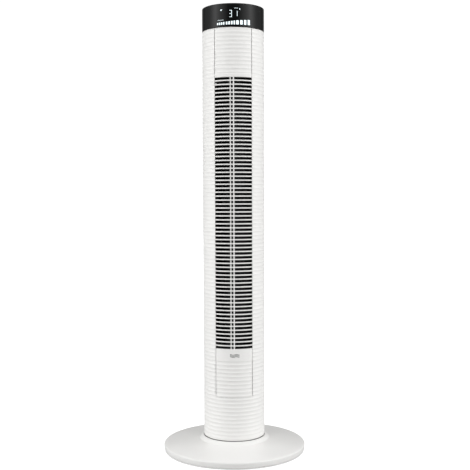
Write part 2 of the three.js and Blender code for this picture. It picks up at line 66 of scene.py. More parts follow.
WINDOW_HALF = 36.6
WINDOW_BOTTOM = 143.8 * MM
SEAM = 1.5 * MM
BOTTOM_SEAM = 0.5 * MM
CORNER_R = 5 * MM
HALF_SHELL = 89.85

INTAKE_HALF = 50.3
INTAKE_LOW, INTAKE_HIGH = 258 * MM, 918 * MM
HANDLE_HALF = 30.4
HANDLE_LOW, HANDLE_HIGH = 943.5 * MM, 990.5 * MM


# ---------------------------------------------------------------- Materials
def new_material(name, color, roughness, **inputs):
    """A Principled material with its node tree and shader; inputs are its other sockets by name."""
    material = bpy.data.materials.new(name)
    material.use_nodes = True
    shader = material.node_tree.nodes["Principled BSDF"]
    shader.inputs["Base Color"].default_value = (*color, 1)
    shader.inputs["Roughness"].default_value = roughness
    for socket, value in inputs.items():
        shader.inputs[socket.replace("_", " ")].default_value = value
    return material, material.node_tree, shader


def add_node(tree, kind, settings=(), **values):
    """A shader node with its properties and unlinked sockets set."""
    node = tree.nodes.new(kind)
    for key, value in dict(settings).items():
        setattr(node, key, value)
    for socket, value in values.items():
        node.inputs[socket.replace("_", " ")].default_value = value
    return node


def grain(tree, scale, detail=3.0, stretch=(1, 1, 1)):
    """Noise in the object's own space."""
    place = add_node(tree, "ShaderNodeTexCoord")
    size = add_node(tree, "ShaderNodeMapping", Scale=stretch)
    noise = add_node(tree, "ShaderNodeTexNoise", Scale=scale, Detail=detail)
    tree.links.new(place.outputs["Object"], size.inputs["Vector"])
    tree.links.new(size.outputs["Vector"], noise.inputs["Vector"])
    return noise.outputs["Fac"]


def spread(tree, source, low, high):
    """source, which runs from about 0.3 to 0.7, moved to the range from low to high."""
    node = add_node(tree, "ShaderNodeMapRange", From_Min=0.3, From_Max=0.7, To_Min=low, To_Max=high)
    tree.links.new(source, node.inputs["Value"])
    return node.outputs["Result"]


def tint(tree, shader, source, dark, light):
    """Drives the base colour between two colours."""
    mix = add_node(tree, "ShaderNodeMix", {"data_type": "RGBA"})
    mix.inputs["A"].default_value = (*dark, 1)
    mix.inputs["B"].default_value = (*light, 1)
    tree.links.new(source, mix.inputs["Factor"])
    tree.links.new(mix.outputs["Result"], shader.inputs["Base Color"])


def bump(tree, shader, source, distance, strength=1.0):
    """Raises the surface's normal by a height source."""
    node = add_node(tree, "ShaderNodeBump", Strength=strength, Distance=distance)
    tree.links.new(source, node.inputs["Height"])
    tree.links.new(node.outputs["Normal"], shader.inputs["Normal"])


def moulded_plastic(name, color, roughness, texture=0.00002, variation=0.015, **inputs):
    """Plastic with a fine spark-eroded texture, faint cloudiness and uneven sheen."""
    material, tree, shader = new_material(name, color, roughness, **inputs)
    cloud = grain(tree, 14, 2)
    tint(tree, shader, spread(tree, cloud, 0, 1), [c * (1 - variation) for c in color], color)
    gloss = spread(tree, grain(tree, 60), roughness - 0.04, roughness + 0.05)
    tree.links.new(gloss, shader.inputs["Roughness"])
    bump(tree, shader, grain(tree, 2600, 2), texture)
    return material


def gloss_black(name, color, roughness):
    """Polished black with the faintest ripple and a trace of handling haze."""
    material, tree, shader = new_material(name, color, roughness, IOR=1.5)
    haze = spread(tree, grain(tree, 35, 4), roughness * 0.6, roughness * 1.8)
    tree.links.new(haze, shader.inputs["Roughness"])
    bump(tree, shader, grain(tree, 22, 1), 0.00002, 0.4)
    return material


def metal(name, color, roughness, stretch=(1, 1, 1), scale=900):
    """Metal with drawn or rolled streaks along one direction."""
    material, tree, shader = new_material(name, color, roughness, Metallic=1.0)
    streaks = grain(tree, scale, 4, stretch)
    shade = spread(tree, streaks, 0, 1)
    tint(tree, shader, shade, [c * 0.82 for c in color], color)
    tree.links.new(spread(tree, streaks, roughness - 0.08, roughness + 0.12), shader.inputs["Roughness"])
    bump(tree, shader, streaks, 0.00001)
    return material


def circuit_board(name):
    """Green solder resist with copper traces showing through as a lighter grid."""
    material, tree, shader = new_material(name, (0.01, 0.09, 0.035), 0.35)
    place = add_node(tree, "ShaderNodeTexCoord")
    cells = add_node(
        tree, "ShaderNodeTexBrick", Scale=220.0, Mortar_Size=0.09, Bias=-0.2,
        Color1=(0.008, 0.075, 0.028, 1), Color2=(0.012, 0.11, 0.04, 1), Mortar=(0.03, 0.2, 0.07, 1),
    )
    tree.links.new(place.outputs["Object"], cells.inputs["Vector"])
    tree.links.new(cells.outputs["Color"], shader.inputs["Base Color"])
    bump(tree, shader, cells.outputs["Fac"], 0.00004)
    return material


def lit(name, color, strength):
    """A light segment: a pale diffuser with an even soft glow and a faint random tone in its colour."""
    material, tree, shader = new_material(name, color, 0.4, Emission_Strength=strength)
    shader.inputs["Emission Color"].default_value = (*color, 1)
    tint(tree, shader, spread(tree, grain(tree, 300), 0, 1), [c * 0.92 for c in color], color)
    return material


SHELL_WHITE = moulded_plastic("shell_white", (0.87, 0.865, 0.85), 0.4)
GRILLE_WHITE = moulded_plastic("grille_white", (0.87, 0.865, 0.85), 0.4)
BASE_WHITE = moulded_plastic("base_white", (0.85, 0.845, 0.83), 0.36, texture=0.000015)
GLOSS = gloss_black("gloss_black", (0.0025, 0.003, 0.003), 0.05)
KEY_GLOSS = gloss_black("key_black", (0.006, 0.006, 0.007), 0.12)
PRINT_WHITE = moulded_plastic("print_white", (0.75, 0.77, 0.78), 0.5, texture=0.00001)
PRINT_DARK = moulded_plastic("print_dark", (0.03, 0.03, 0.032), 0.55, texture=0.00001)
LIT_WHITE = lit("display_light", (0.78, 0.9, 0.93), 0.75)
DARK = moulded_plastic("dark_plastic", (0.008, 0.008, 0.009), 0.6, texture=0.00004, variation=0.2)
WHEEL_DARK = moulded_plastic("wheel_plastic", (0.006, 0.006, 0.0065), 0.55, texture=0.00005, variation=0.2)
NYLON = moulded_plastic("nylon", (0.72, 0.67, 0.55), 0.45, Subsurface_Weight=0.2)
RUBBER = moulded_plastic("rubber", (0.02, 0.02, 0.021), 0.8, texture=0.00008, variation=0.25)
STEEL = metal("steel", (0.6, 0.61, 0.63), 0.3)
MOTOR_STEEL = metal("motor_steel", (0.5, 0.51, 0.53), 0.38, (1, 1, 0.04))
BRONZE = metal("bronze", (0.62, 0.42, 0.22), 0.42)
BOARD = circuit_board("circuit_board")
SLEEVE = moulded_plastic("lead_sleeve", (0.012, 0.012, 0.013), 0.7, texture=0.0001, variation=0.3)


# ---------------------------------------------------------------- Mesh helpers
def around(radius, degrees, z=0.0):
    """The point at a plan angle from the front, positive towards +X."""
    angle = math.radians(degrees)
    return (radius * math.sin(angle), -radius * math.cos(angle), z)


def degrees_of(arc):
    """The plan angle that an arc length covers on the tower's surface."""
    return math.degrees(arc / TOWER_R)


def build(name, verts, faces, material, crease=35):
    """A smooth-shaded mesh object whose edges sharper than crease degrees stay sharp."""
    mesh = bpy.data.meshes.new(name)
    mesh.from_pydata([tuple(v) for v in verts], [], faces)
    mesh.validate()
    shape = bmesh.new()
    shape.from_mesh(mesh)
    bmesh.ops.recalc_face_normals(shape, faces=shape.faces)
    shape.to_mesh(mesh)
    shape.free()
    mesh.materials.append(material)
    mesh.polygons.foreach_set("use_smooth", [True] * len(mesh.polygons))
    mesh.set_sharp_from_angle(angle=math.radians(crease))
    piece = bpy.data.objects.new(name, mesh)
    bpy.context.scene.collection.objects.link(piece)
    return piece


def fit(piece, body, slot, *nodes):
    """The piece rides on a body and stands for these CAD nodes, which it hides; slot is not used."""
    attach(piece, body)
    if nodes:
        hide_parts(*nodes)
    return piece


def loft(loops, closed_along=False, caps=True):
    """Faces between loops of points that are equally long. Returns the points and faces."""
    count = len(loops[0])
    verts = [p for loop in loops for p in loop]
    faces = []
    turns = len(loops) if closed_along else len(loops) - 1
    for i in range(turns):
        a, b = i * count, ((i + 1) % len(loops)) * count
        for j in range(count):
            k = (j + 1) % count
            faces.append((a + j, a + k, b + k, b + j))
    if caps and not closed_along:
        last = (len(loops) - 1) * count
        faces.append(tuple(reversed(range(count))))
        faces.append(tuple(range(last, last + count)))
    return verts, faces


def sweep_arc(section, start, end, steps, closed=False):
    """A closed section of (radius, z) points swept round the tower's axis from start to end degrees."""
    loops = []
    for i in range(steps if closed else steps + 1):
        angle = start + (end - start) * i / steps
        loops.append([around(r, angle, z) for r, z in section])
    return loft(loops, closed_along=closed)


def join(parts):
    """Several (verts, faces) as one."""
    verts, faces = [], []
    for part_verts, part_faces in parts:
        shift = len(verts)
        verts += list(part_verts)
        faces += [tuple(i + shift for i in face) for face in part_faces]
    return verts, faces


def turned(profile, steps, x=0.0, y=0.0):
    """A closed (radius, z) profile turned about an upright axis; it may start and end on the axis."""
    on_axis = profile[0][0] == 0
    verts, faces = [], []
    rows = profile[1:-1] if on_axis else profile
    for i in range(steps):
        angle = 2 * math.pi * i / steps
        for r, z in rows:
            verts.append((x + r * math.cos(angle), y + r * math.sin(angle), z))
    count = len(rows)
    for i in range(steps):
        a, b = i * count, ((i + 1) % steps) * count
        for j in range(count - 1 if on_axis else count):
            k = (j + 1) % count
            faces.append((a + j, b + j, b + k, a + k))
    if on_axis:
        foot, head = len(verts), len(verts) + 1
        verts += [(x, y, profile[0][1]), (x, y, profile[-1][1])]
        for i in range(steps):
            a, b = i * count, ((i + 1) % steps) * count
            faces.append((foot, b, a))
            faces.append((head, a + count - 1, b + count - 1))
    return verts, faces


def moved(part, matrix):
    """The part's points taken through a matrix."""
    verts, faces = part
    return [tuple(matrix @ Vector(v)) for v in verts], faces


def carve(piece, cutters):
    """Cuts closed (verts, faces) bodies out of the piece."""
    for index, (verts, faces) in enumerate(cutters):
        tool = build(f"tool_{index}", verts, faces, piece.data.materials[0])
        step = piece.modifiers.new("cut", "BOOLEAN")
        step.object = tool
        step.operation = "DIFFERENCE"
        step.solver = "EXACT"
        apply_modifiers(piece)
        bpy.data.objects.remove(tool)
    piece.data.set_sharp_from_angle(angle=math.radians(35))
    return piece


def apply_modifiers(piece):
    """Bakes the piece's modifiers into its mesh."""
    bpy.context.view_layer.update()
    result = bpy.data.meshes.new_from_object(piece.evaluated_get(bpy.context.evaluated_depsgraph_get()))
    old = piece.data
    piece.modifiers.clear()
    piece.data = result
    bpy.data.meshes.remove(old)


def soften(piece, width, segments=2, angle=40):
    """Rounds the piece's sharp edges."""
    step = piece.modifiers.new("round", "BEVEL")
    step.width = width
    step.segments = segments
    step.limit_method = "ANGLE"
    step.angle_limit = math.radians(angle)
    apply_modifiers(piece)
    piece.data.set_sharp_from_angle(angle=math.radians(50))
    flat = piece.modifiers.new("flat faces", "WEIGHTED_NORMAL")
    flat.keep_sharp = True
    return piece


# ---------------------------------------------------------------- Ringed walls
def ring_inset(z):
    """How far the fluted surface lies inside the tower's radius at this height."""
    down = ((RIDGE_LEVEL - z) / PITCH) % 1.0
    return COVE_DEPTH * (1 - (2 * down - 1) ** 2)


def ring_levels(low, high, extra=()):
    """Heights that follow the flutes between two ends, with extra ones."""
    steps = [0, 0.035, 0.12, 0.25, 0.4, 0.6, 0.75, 0.88, 0.965]
    first = math.floor((low - RIDGE_LEVEL) / PITCH) - 1
    last = math.ceil((high - RIDGE_LEVEL) / PITCH) + 1
    levels = [RIDGE_LEVEL + (k - s) * PITCH for k in range(first, last + 1) for s in steps]
    fixed = [low, high, *extra]
    near = 0.1 * MM
    kept = [z for z in levels if low < z < high and all(abs(z - f) > near for f in fixed)]
    return sorted(set(kept + fixed))


def corner_pull(z, low, high, radius):
    """How far an upright edge bends inwards near a window's rounded corners."""
    depth = min(z - low, high - z)
    if depth >= radius or depth < 0:
        return 0.0
    return radius - math.sqrt(max(0.0, radius**2 - (radius - depth) ** 2))


def curved_wall(columns, levels, outer, inner, present, undercut=None):
    """A closed curved wall. columns[i][j] is a plan angle at level i, outer[i][j] and inner its radii,
    and present[i][j] says whether the cell above level i and right of column j is there. undercut is
    what each column's angle gains on the inside."""
    rows, cols = len(levels), len(columns[0])
    verts, index = [], {}

    def vertex(side, i, j):
        key = (side, i, j)
        if key not in index:
            index[key] = len(verts)
            shift = 0 if side or undercut is None else undercut[j]
            verts.append(around(outer[i][j] if side else inner, columns[i][j] + shift, levels[i]))
        return index[key]

    def there(i, j):
        return 0 <= i < rows - 1 and 0 <= j < cols - 1 and present[i][j]

    faces = []
    for i in range(rows - 1):
        for j in range(cols - 1):
            if not present[i][j]:
                continue
            ring = [(i, j), (i, j + 1), (i + 1, j + 1), (i + 1, j)]
            faces.append(tuple(vertex(1, *p) for p in ring))
            faces.append(tuple(vertex(0, *p) for p in reversed(ring)))
            beside = [(i - 1, j), (i, j + 1), (i + 1, j), (i, j - 1)]
            for side in range(4):
                if there(*beside[side]):
                    continue
                a, b = ring[side], ring[(side + 1) % 4]
                faces.append((vertex(1, *b), vertex(1, *a), vertex(0, *a), vertex(0, *b)))
    return verts, faces


def spaced(start, end, step):
    """Evenly spaced values from start to end, no further apart than step."""
    count = max(1, math.ceil(abs(end - start) / step))
    return [start + (end - start) * i / count for i in range(count + 1)]


def stations(marks, step):
    """Angles through all the marks, no further apart than step."""
    angles = [marks[0]]
    for a, b in zip(marks, marks[1:]):
        angles += spaced(a, b, step)[1:]
    return angles


# Beside each window the wall drops by EDGE_DROP over EDGE degrees, as a small rounded edge. The window's
# inner side is UNDERCUT degrees wider than its outer side.
EDGE = degrees_of(0.35 * MM)
EDGE_DROP = 0.25 * MM
UNDERCUT = 1.8
END_CHAMFER = 0.6 * MM


def half_shell(middle, windows, step=3.0):
    """Half of the tower's skin. windows are (half angle, low, high, corner radius, open at the top)."""
    marks = {-HALF_SHELL, HALF_SHELL}
    for half, *_ in windows:
        marks |= {-half, half, -half - EDGE, half + EDGE}
    base = np.array(stations(sorted(marks), step))
    extra = [TOWER_BOTTOM + END_CHAMFER, SHELL_TOP - END_CHAMFER]
    for _, low, high, radius, open_top in windows:
        bends = [radius * (1 - math.cos(t * math.pi / 8)) for t in range(5)]
        extra += [low + b for b in bends]
        if not open_top:
            extra += [high - b for b in bends]
    levels = ring_levels(TOWER_BOTTOM, SHELL_TOP, [z for z in extra if TOWER_BOTTOM < z < SHELL_TOP])
    undercut = np.zeros(len(base))
    for half, *_ in windows:
        undercut[np.isclose(base, half)] = UNDERCUT
        undercut[np.isclose(base, -half)] = -UNDERCUT
    columns, outer, present = [], [], []
    for i, z in enumerate(levels):
        shifted = base.copy()
        inset = ring_inset(z)
        if z in (TOWER_BOTTOM, SHELL_TOP):
            inset += END_CHAMFER
        drop = np.zeros(len(base))
        cells = np.ones(len(base) - 1, bool)
        above = (z + levels[min(i + 1, len(levels) - 1)]) / 2
        for half, low, high, radius, open_top in windows:
            if low <= z <= high:
                top = high + 1 if open_top else high
                pull = math.degrees(corner_pull(z, low, top, radius) / TOWER_R)
                knots = [-HALF_SHELL, -half, half, HALF_SHELL]
                shifted = np.interp(shifted, knots, [-HALF_SHELL, -half + pull, half - pull, HALF_SHELL])
                drop[np.isclose(np.abs(base), half)] = EDGE_DROP
            if low < above < high:
                middles = (base[1:] + base[:-1]) / 2
                cells &= ~(np.abs(middles) < half)
        columns.append(list(middle + shifted))
        outer.append(list(TOWER_R - inset - drop))
        present.append(list(cells))
    return curved_wall(columns, levels, outer, TOWER_R - WALL, present, undercut)


front_windows = [(WINDOW_HALF, WINDOW_BOTTOM, HEIGHT, CORNER_R, True)]
front_shell = build("front_shell_skin", *half_shell(0, front_windows), SHELL_WHITE)
fit(front_shell, "tower", "shell_white", "front_shell")

rear_windows = [
    (INTAKE_HALF, INTAKE_LOW, INTAKE_HIGH, CORNER_R, False),
    (HANDLE_HALF, HANDLE_LOW, HANDLE_HIGH, CORNER_R, False),
]
rear_shell = build("rear_shell_skin", *half_shell(180, rear_windows), SHELL_WHITE)
fit(rear_shell, "tower", "shell_white", "rear_shell")


# ---------------------------------------------------------------- Front outlet grille
GRILLE_EDGE = WINDOW_HALF - math.degrees(SEAM / TOWER_R)
FLANGE_EDGE = 41.0
BACK_R = 71.2 * MM
FLANGE_R = 73.0 * MM
PLAIN_INSET = 0.07 * MM


def panel(low, high, plain_low, plain_high, round_bottom):
    """A ringed blank of the grille, plain between two heights."""
    extra = [low + 0.5 * MM, high - 0.5 * MM, plain_low, plain_high]
    if round_bottom:
        extra += [low + CORNER_R * (1 - math.cos(t * math.pi / 8)) for t in range(1, 5)]
    levels = ring_levels(low, high, [z for z in extra if low < z < high])
    shares = np.array(stations([-1, -0.99, 0.99, 1], 0.085))
    columns, outer, present = [], [], []
    for z in levels:
        edge = GRILLE_EDGE
        if round_bottom:
            edge -= math.degrees(corner_pull(z, low, low + 1, CORNER_R - SEAM) / TOWER_R)
        inset = PLAIN_INSET if plain_low <= z <= plain_high else ring_inset(z)
        if z in (low, high):
            inset += 0.4 * MM
        columns.append(list(shares * edge))
        outer.append([TOWER_R - inset - (EDGE_DROP if abs(s) == 1 else 0) for s in shares])
        present.append([True] * (len(shares) - 1))
    return curved_wall(columns, levels, outer, 71.0 * MM, present)


def slat(centre):
    """One curved slat with a rounded front, stepped in at its ends to reach behind the shell."""
    half = (PITCH - SLOT_HEIGHT) / 2
    face = [(0, -0.3), (-0.12, -0.72), (-0.5, -0.95), (-1.3, -1.0)]
    front = [(TOWER_R + r * MM, centre + z * half) for r, z in face]
    lower = [*reversed(front)]
    upper = [(r, 2 * centre - z) for r, z in front]
    section = [(BACK_R, centre - 0.35 * half), *lower, *upper, (BACK_R, centre + 0.35 * half)]
    angles = spaced(-GRILLE_EDGE, GRILLE_EDGE, 2.6)
    ends = [(-FLANGE_EDGE + 0.7, True), (-GRILLE_EDGE, True)]
    route = ends + [(a, False) for a in angles] + [(-a, stepped) for a, stepped in reversed(ends)]
    loops = []
    for angle, stepped in route:
        loops.append([around(min(r, FLANGE_R) if stepped else r, angle, z) for r, z in section])
    return loft(loops)


def upright(angle, half_width, back, front, low, high):
    """An upright bar with a rounded front."""
    nose = 0.35 * MM
    outline = [
        (-half_width, back), (half_width, back), (half_width, front - nose),
        (half_width - nose, front), (-half_width + nose, front), (-half_width, front - nose),
    ]
    turn = Matrix.Rotation(math.radians(angle), 3, "Z")
    loops = []
    for z in (low, high):
        loops.append([tuple(turn @ Vector((x, -depth, z))) for x, depth in outline])
    return loft(loops)


slots_low = TOP_SLOT - (SLOT_COUNT - 1) * PITCH - SLOT_HEIGHT / 2
slots_high = TOP_SLOT + SLOT_HEIGHT / 2
grille_parts = [
    panel(slots_high, SHELL_TOP, slots_high, slots_high + 8 * MM, False),
    panel(WINDOW_BOTTOM + BOTTOM_SEAM, slots_low, 233 * MM, slots_low, True),
]
for k in range(SLOT_COUNT - 1):
    grille_parts.append(slat(TOP_SLOT - (k + 0.5) * PITCH))
main_rib = (0.45, 1.4 * MM, TOWER_R - 0.1 * MM)
side_rib = (-5.5, 1.15 * MM, TOWER_R - 1.2 * MM)
for angle, half_width, front in (main_rib, side_rib):
    rib = upright(angle, half_width, BACK_R + MM, front, slots_low - MM, slots_high + MM)
    grille_parts.append(rib)
STRIP_R = 71.8 * MM
strip = [
    (STRIP_R, WINDOW_BOTTOM), (FLANGE_R, WINDOW_BOTTOM), (FLANGE_R, SHELL_TOP), (STRIP_R, SHELL_TOP),
]
for side in (-1, 1):
    grille_parts.append(sweep_arc(strip, side * 38.8, side * FLANGE_EDGE, 2))


SIGN_HALF = 0.6 * MM
SIGN_FACE, SIGN_BACK = TOWER_R - 0.01 * MM, TOWER_R - 0.3 * MM


def airflow_sign(middle, z, width):
    """Three short waves, printed on the plain panel under the slots."""
    parts = []
    reach = degrees_of(width / 2)
    for row in (-1, 0, 1):
        points = []
        for t in range(25):
            share = t / 12 - 1
            wave = 2.7 * row + 0.8 * math.sin(share * 1.5 * math.pi)
            points.append((middle + share * reach, z + wave * MM))
        loops = []
        for angle, level in points:
            low, high = level - SIGN_HALF, level + SIGN_HALF
            loops.append([
                around(SIGN_BACK, angle, low), around(SIGN_FACE, angle, low),
                around(SIGN_FACE, angle, high), around(SIGN_BACK, angle, high),
            ])
        parts.append(loft(loops))
    return join(parts)


grille_body = join(grille_parts)
sign = airflow_sign(1.0, 247 * MM, 23 * MM)
front_grille = build("front_grille_fine", *join([grille_body, sign]), GRILLE_WHITE)
front_grille.data.materials.append(PRINT_DARK)
for face in front_grille.data.polygons[len(grille_body[1]):]:
    face.material_index = 1
fit(front_grille, "tower", "grille_white", "front_grille")


# ---------------------------------------------------------------- Rear intake grille
INTAKE_COLUMNS = 12
INTAKE_BAYS = 5
INTAKE_BRIDGE = 8 * MM
INTAKE_SLOT = 6.4 * MM


def intake_grille():
    """Upright bars between level bridges, with softened edges."""
    edge = INTAKE_HALF - 0.6
    low, high = INTAKE_LOW + SEAM, INTAKE_HIGH - SEAM
    step = 2 * edge / INTAKE_COLUMNS
    half_slot = math.degrees(INTAKE_SLOT / TOWER_R) / 2
    soft = 0.5
    angles, openings = [-edge, -edge + soft], []
    for c in range(INTAKE_COLUMNS):
        centre = (c + 0.5) * step - edge
        near, far = centre - half_slot, centre + half_slot
        openings.append((near, far))
        angles += [near - soft, near, centre, far, far + soft]
    angles += [edge - soft, edge]
    first = low + INTAKE_BRIDGE
    pitch = (high - first) / INTAKE_BAYS
    levels = [low, low + 0.5 * MM]
    bays = []
    for b in range(INTAKE_BAYS):
        bottom, top = first + b * pitch, first + (b + 1) * pitch - INTAKE_BRIDGE
        bays.append((bottom, top))
        levels += [bottom - 0.5 * MM, bottom, top, top + 0.5 * MM]
    levels += [high - 0.5 * MM, high]
    hole_edges = {round(a, 6) for pair in openings for a in pair}
    columns, outer, present = [], [], []
    for i, z in enumerate(levels):
        on_rim = z in (low, high)
        at_bay_end = any(z in bay for bay in bays)
        row = []
        for a in angles:
            inside = any(n <= a <= f for n, f in openings)
            drop = 0.45 * MM if round(a, 6) in hole_edges and any(b <= z <= t for b, t in bays) else 0.0
            drop = 0.45 * MM if on_rim or abs(a) == edge or (at_bay_end and inside) else drop
            row.append(TOWER_R - drop)
        columns.append([180 + a for a in angles])
        outer.append(row)
        above = (z + levels[min(i + 1, len(levels) - 1)]) / 2
        in_bay = any(b < above < t for b, t in bays)
        middles = [(a + b) / 2 for a, b in zip(angles, angles[1:])]
        present.append([not (in_bay and any(n < m < f for n, f in openings)) for m in middles])
    return curved_wall(columns, levels, outer, 72.8 * MM, present)


lip = [(70 * MM, INTAKE_LOW), (FLANGE_R, INTAKE_LOW), (FLANGE_R, INTAKE_HIGH), (70 * MM, INTAKE_HIGH)]
rear_parts = [intake_grille()]
for side in (-1, 1):
    rear_parts.append(sweep_arc(lip, 180 + side * 48.5, 180 + side * 52.8, 2))
rear_grille = build("rear_grille_fine", *join(rear_parts), GRILLE_WHITE)
fit(rear_grille, "tower", "grille_white", "rear_grille")


# ---------------------------------------------------------------- Carry handle
def block_arc(inner, outer, half, low, high, steps=24):
    """A curved block at the back of the tower, half degrees to each side of its middle."""
    section = [(inner, low), (outer, low), (outer, high), (inner, high)]
    return sweep_arc(section, 180 - half, 180 + half, steps)


handle_edge = HANDLE_HALF - 0.45
body = block_arc(50 * MM, TOWER_R - 0.25 * MM, handle_edge, HANDLE_LOW + 0.5 * MM, HANDLE_HIGH - 0.5 * MM)
handle = build("carry_handle_fine", *body, SHELL_WHITE)
carve(handle, [
    block_arc(52 * MM, 90 * MM, 27, 948 * MM, 978 * MM),
    block_arc(52.01 * MM, 68 * MM, 26.99, 977 * MM, 986 * MM),
])
soften(handle, 0.9 * MM, 3)
fit(handle, "tower", "shell_white", "carry_handle")


# ---------------------------------------------------------------- Control head: band, cap, keys
def arc_profile(cx, cz, radius, start, end, steps):
    """Points of a profile's rounded corner, from start to end degrees."""
    return [
        (cx + radius * math.cos(math.radians(t)), cz + radius * math.sin(math.radians(t)))
        for t in spaced(start, end, abs(end - start) / steps)
    ]


LIP_INNER = 70.6 * MM
round_top = arc_profile(TOWER_R - 1.4 * MM, HEIGHT - 1.4 * MM, 1.4 * MM, 0, 90, 8)
band_profile = [
    (TOWER_R - 0.3 * MM, BAND_BOTTOM), (TOWER_R, BAND_BOTTOM + 0.4 * MM), (TOWER_R, HEIGHT - 20 * MM),
    *round_top, (LIP_INNER + 0.4 * MM, HEIGHT), (LIP_INNER, HEIGHT - 0.4 * MM),
    (LIP_INNER, HEIGHT - 3.6 * MM), (73.2 * MM, HEIGHT - 3.6 * MM), (73.2 * MM, BAND_BOTTOM),
]
band = build("display_band_fine", *turned(band_profile, 192), GLOSS, 30)
fit(band, "tower", "gloss_black", "display_band")

KEYS = ["timer_key", "mode_key", "power_key", "speed_key", "swing_key"]
CAP_LOW, CAP_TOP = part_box("top_cap")[0][2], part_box("top_cap")[1][2]
CAP_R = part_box("top_cap")[1][0]
KEY_R = 6 * MM


def key_centre(name):
    """The plan position of a key's axis."""
    low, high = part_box(name)
    return (low[0] + high[0]) / 2, (low[1] + high[1]) / 2


cap_profile = [
    (0, CAP_LOW), (CAP_R, CAP_LOW), (CAP_R, CAP_TOP - 0.5 * MM), (CAP_R - 0.5 * MM, CAP_TOP), (0, CAP_TOP),
]
cap = build("top_cap_fine", *turned(cap_profile, 128), GLOSS)
HOLE_R = 6.4 * MM
key_hole = [(0, CAP_LOW - MM), (HOLE_R, CAP_LOW - MM), (HOLE_R, HEIGHT), (0, HEIGHT)]
carve(cap, [turned(key_hole, 48, *key_centre(key)) for key in KEYS])
soften(cap, 0.25 * MM, 2, 60)
fit(cap, "tower", "gloss_black", "top_cap")


def stroke(points, width, z, height=0.06 * MM):
    """A flat raised line through (x, y) points."""
    parts = []
    for (x0, y0), (x1, y1) in zip(points, points[1:]):
        along = Vector((x1 - x0, y1 - y0))
        across = Vector((-along.y, along.x)).normalized() * width / 2
        start, end = Vector((x0, y0)), Vector((x1, y1))
        ring = [start - across, end - across, end + across, start + across]
        loops = [[(p.x, p.y, level) for p in ring] for level in (z - 0.2 * MM, z + height)]
        parts.append(loft(loops))
    return join(parts)


def arc_points(radius, start, end, steps=14, x=0.0, y=0.0):
    """Points of a level arc, in degrees clockwise from +Y."""
    return [
        (x + radius * math.sin(math.radians(t)), y + radius * math.cos(math.radians(t)))
        for t in spaced(start, end, abs(end - start) / steps)
    ]


def wave_points(row):
    """A level wave at a height above the key's centre."""
    return [(-2.8 + i * 0.35, row + 0.5 * math.sin(i * math.pi / 4)) for i in range(17)]


PICTOGRAMS = {
    "power_key": [arc_points(2.6, 40, 320), [(0, 0.6), (0, 3.4)]],
    "speed_key": [[(-2.4 + 1.6 * i, -2), (-2.4 + 1.6 * i, -0.8 + 1.1 * i)] for i in range(4)],
    "mode_key": [wave_points(row) for row in (1.4, 0, -1.4)],
    "timer_key": [arc_points(2.7, 0, 360, 22), [(0, 1.7), (0, 0), (1.2, -0.7)]],
    "swing_key": [
        [(-3.2, 0), (3.2, 0)],
        [(-2, 1.3), (-3.3, 0), (-2, -1.3)],
        [(2, 1.3), (3.3, 0), (2, -1.3)],
    ],
}

for key in KEYS:
    x, y = key_centre(key)
    low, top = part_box(key)[0][2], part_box(key)[1][2]
    dish = [(KEY_R * (1 - i / 8), top - 0.13 * MM * (1 - (1 - i / 8) ** 2)) for i in range(2, 9)]
    profile = [
        (0, low), (7.2 * MM, low), (7.4 * MM, low + 0.2 * MM), (7.4 * MM, low + 1.4 * MM),
        (KEY_R, low + 1.6 * MM), (KEY_R, top - 0.7 * MM),
        *arc_profile(KEY_R - 0.6 * MM, top - 0.6 * MM, 0.6 * MM, 0, 90, 4)[1:-1],
        (KEY_R - 0.65 * MM, top), *dish,
    ]
    body_part = turned(profile, 64, x, y)
    marks = []
    for line in PICTOGRAMS[key]:
        points = [(x + px * MM, y + py * MM) for px, py in line]
        marks.append(stroke(points, 0.5 * MM, top - 0.12 * MM))
    body_faces = len(body_part[1])
    piece = build(key + "_fine", *join([body_part, *marks]), KEY_GLOSS)
    piece.data.materials.append(PRINT_WHITE)
    for face in piece.data.polygons[body_faces:]:
        face.material_index = 1
    fit(piece, key, "key_black", key)


# ---------------------------------------------------------------- Display: digits, speed bars, small signs
FACE_R = TOWER_R + 0.05 * MM
FACE_BACK = FACE_R - 0.3 * MM


def tile(corners, columns=4):
    """A patch on the band. corners are (angle, z): lower left, lower right, upper right, upper left."""
    (a0, z0), (a1, z1), (a2, z2), (a3, z3) = corners
    loops = []
    for i in range(columns + 1):
        t = i / columns
        low = (a0 + (a1 - a0) * t, z0 + (z1 - z0) * t)
        high = (a3 + (a2 - a3) * t, z3 + (z2 - z3) * t)
        loops.append([
            around(FACE_BACK, *low), around(FACE_R, *low), around(FACE_R, *high), around(FACE_BACK, *high),
        ])
    return loft(loops)


def segment_digit(left, width, low, height, segments, thick):
    """A seven-segment figure: segments a to f run clockwise from the top and g is the middle one."""
    right, high = left + width, low + height
    mid = low + height / 2
    t = degrees_of(thick)
    gap = 0.25 * MM
    g = degrees_of(gap)
    level = {"a": high - thick / 2, "g": mid, "d": low + thick / 2}
    upright_at = {"f": left, "e": left, "b": right - t, "c": right - t}
    parts = []
    for name in segments:
        if name in level:
            z = level[name]
            parts.append(tile([
                (left + t + g, z - thick / 2), (right - t - g, z - thick / 2),
                (right - t - g, z + thick / 2), (left + t + g, z + thick / 2),
            ]))
        else:
            a = upright_at[name]
            z0, z1 = (mid + gap, high - gap) if name in "bf" else (low + gap, mid - gap)
            parts.append(tile([(a, z0), (a + t, z0), (a + t, z1), (a, z1)], 1))
    return parts


shown = []
shown += segment_digit(-7.4, 5.4, 1054.8 * MM, 16.6 * MM, "abcdg", 1.2 * MM)
shown += segment_digit(2.2, 5.9, 1057 * MM, 12.4 * MM, "bc", 1.2 * MM)

